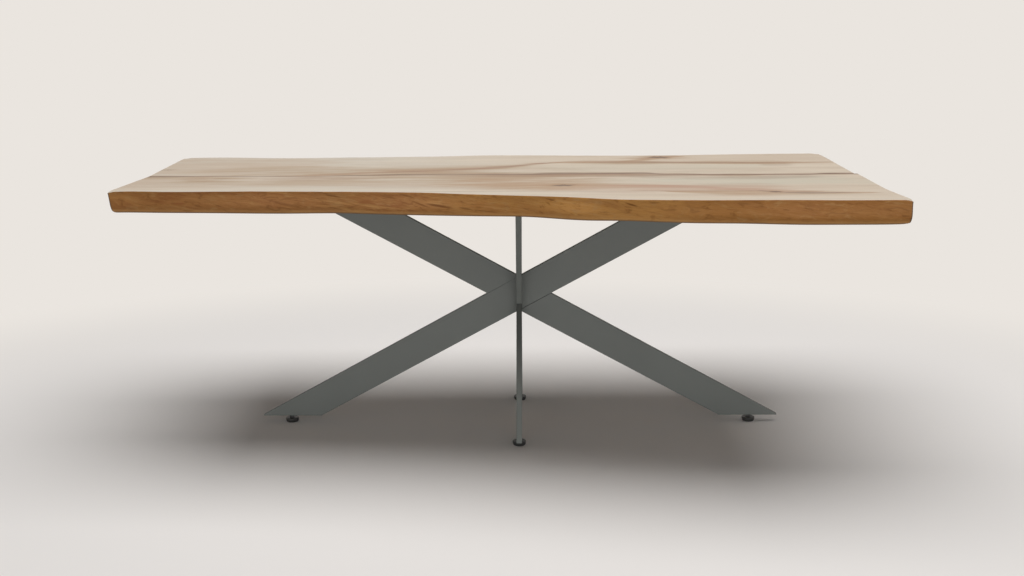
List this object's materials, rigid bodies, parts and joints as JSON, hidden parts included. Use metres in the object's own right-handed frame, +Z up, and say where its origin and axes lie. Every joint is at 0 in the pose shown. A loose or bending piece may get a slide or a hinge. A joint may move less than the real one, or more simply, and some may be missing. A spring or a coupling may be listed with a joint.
{
  "type": "dining table",
  "caption": "Live-edge hickory dining table on a crossed base of flat steel bars with levelling feet.",
  "frame": {"origin": "on the floor, under the middle of the box round the table top", "axes": "+X along the table to the right as seen from the front, +Y from the front to the back, +Z up"},
  "size_m": [2.084, 1.1495, 0.76],
  "materials": {
    "slab_wood": "satin oiled hickory, cream sapwood with red-brown heartwood",
    "tenon_wood": "plain planed hardwood",
    "bar_steel": "matt anthracite",
    "plate_steel": "matt anthracite",
    "fastener_steel": "zinc plated",
    "insert_brass": "turned",
    "stud_steel": "dark zinc plated",
    "pad_plastic": "moulded, slightly textured"
  },
  "bodies": {
    "table": {"front_board": "slab_wood", "rear_board": "slab_wood", "joint_tenons": "tenon_wood", "long_bar": "bar_steel", "upper_half_bar": "bar_steel", "lower_half_bar": "bar_steel", "front_upper_arm": "bar_steel", "front_lower_arm": "bar_steel", "rear_upper_arm": "bar_steel", "rear_lower_arm": "bar_steel", "left_mounting_plate": "plate_steel", "right_mounting_plate": "plate_steel", "front_mounting_plate": "plate_steel", "rear_mounting_plate": "plate_steel", "mounting_bolts": "fastener_steel", "mounting_washers": "fastener_steel", "threaded_inserts": "insert_brass"},
    "left_pad": {"left_foot_pad": "pad_plastic"},
    "left_stud": {"left_foot_stud": "stud_steel"},
    "right_pad": {"right_foot_pad": "pad_plastic"},
    "right_stud": {"right_foot_stud": "stud_steel"},
    "front_pad": {"front_foot_pad": "pad_plastic"},
    "front_stud": {"front_foot_stud": "stud_steel"},
    "rear_pad": {"rear_foot_pad": "pad_plastic"},
    "rear_stud": {"rear_foot_stud": "stud_steel"}
  },
  "joints": [
    {"name": "left_foot_lift", "type": "slide", "parent": "table", "child": "left_pad", "axis": [0, 0, -1], "range_m": [-0.0012, 0.012]},
    {"name": "left_stud_turn", "type": "hinge", "parent": "left_pad", "child": "left_stud", "pos_m": [-0.641, 0.062, 0.01], "axis": [0, 0, -1], "range_deg": [-347, 3457]},
    {"name": "right_foot_lift", "type": "slide", "parent": "table", "child": "right_pad", "axis": [0, 0, -1], "range_m": [-0.0012, 0.012]},
    {"name": "right_stud_turn", "type": "hinge", "parent": "right_pad", "child": "right_stud", "pos_m": [0.751, 0.062, 0.01], "axis": [0, 0, -1], "range_deg": [-347, 3457]},
    {"name": "front_foot_lift", "type": "slide", "parent": "table", "child": "front_pad", "axis": [0, 0, -1], "range_m": [-0.0012, 0.012]},
    {"name": "front_stud_turn", "type": "hinge", "parent": "front_pad", "child": "front_stud", "pos_m": [0.055, -0.158, 0.01], "axis": [0, 0, -1], "range_deg": [-347, 3457]},
    {"name": "rear_foot_lift", "type": "slide", "parent": "table", "child": "rear_pad", "axis": [0, 0, -1], "range_m": [-0.0012, 0.012]},
    {"name": "rear_stud_turn", "type": "hinge", "parent": "rear_pad", "child": "rear_stud", "pos_m": [0.055, 0.282, 0.01], "axis": [0, 0, -1], "range_deg": [-347, 3457]}
  ],
  "couplings": [
    {"joint": "left_stud_turn", "follows": "left_foot_lift", "rad_per_m": 5026.5},
    {"joint": "right_stud_turn", "follows": "right_foot_lift", "rad_per_m": 5026.5},
    {"joint": "front_stud_turn", "follows": "front_foot_lift", "rad_per_m": 5026.5},
    {"joint": "rear_stud_turn", "follows": "rear_foot_lift", "rad_per_m": 5026.5}
  ]
}
